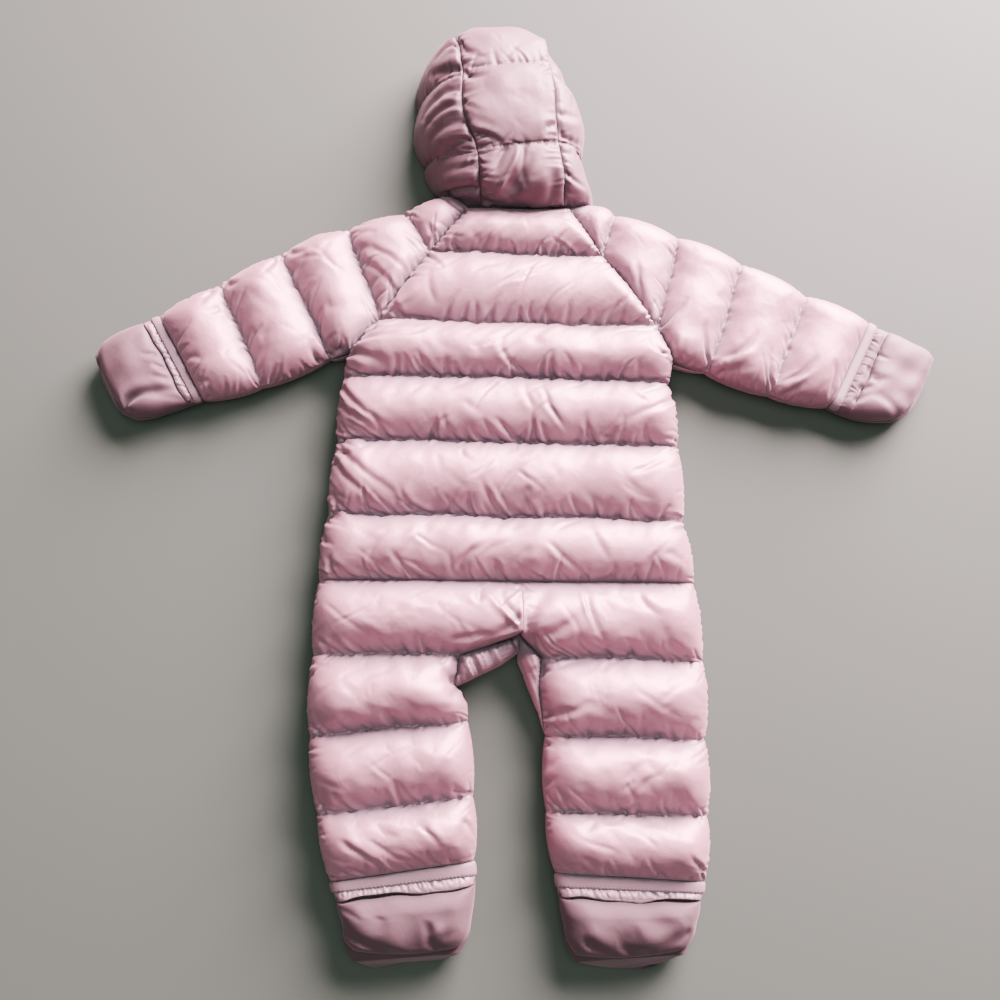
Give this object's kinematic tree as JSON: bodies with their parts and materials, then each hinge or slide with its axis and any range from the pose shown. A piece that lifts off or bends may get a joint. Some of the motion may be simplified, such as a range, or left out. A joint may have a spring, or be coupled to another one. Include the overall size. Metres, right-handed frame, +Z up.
{
  "type": "baby snowsuit",
  "caption": "Quilted down snowsuit for a baby, with a hood and fold-over mitts and booties, zipped at the front, laid out flat on its front with its back upwards.",
  "frame": {"origin": "on the ground under the middle of the footprint of the laid-out suit", "axes": "+X from the wearer's left hand to the right hand, +Y from the feet to the hood, +Z up from the ground, with the suit's back upwards"},
  "size_m": [0.7376, 0.8136, 0.078],
  "materials": {
    "quilted_nylon": "satin down-proof nylon, dusty pink, quilted over down",
    "shell_nylon": "satin nylon, dusty pink, lightly padded and not quilted",
    "elastic_binding": "matt folded binding, dusty pink",
    "zip_tape": "matt woven tape, dusty pink",
    "zip_metal": "satin"
  },
  "bodies": {
    "root": {"back_body": "quilted_nylon", "front_left": "quilted_nylon", "front_right": "quilted_nylon", "leg_left_back": "quilted_nylon", "leg_left_front": "quilted_nylon", "leg_right_back": "quilted_nylon", "leg_right_front": "quilted_nylon", "sleeve_left_back": "quilted_nylon", "sleeve_left_front": "quilted_nylon", "sleeve_right_back": "quilted_nylon", "sleeve_right_front": "quilted_nylon", "hood_left": "quilted_nylon", "hood_centre": "quilted_nylon", "hood_right": "quilted_nylon", "mitt_left_back": "shell_nylon", "mitt_left_front": "shell_nylon", "mitt_left_binding": "elastic_binding", "mitt_right_back": "shell_nylon", "mitt_right_front": "shell_nylon", "mitt_right_binding": "elastic_binding", "bootie_left_back": "shell_nylon", "bootie_left_front": "shell_nylon", "bootie_left_binding": "elastic_binding", "bootie_right_back": "shell_nylon", "bootie_right_front": "shell_nylon", "bootie_right_binding": "elastic_binding", "zip_tape": "zip_tape", "zip_slider": "zip_metal", "zip_pull": "elastic_binding"}
  },
  "joints": []
}
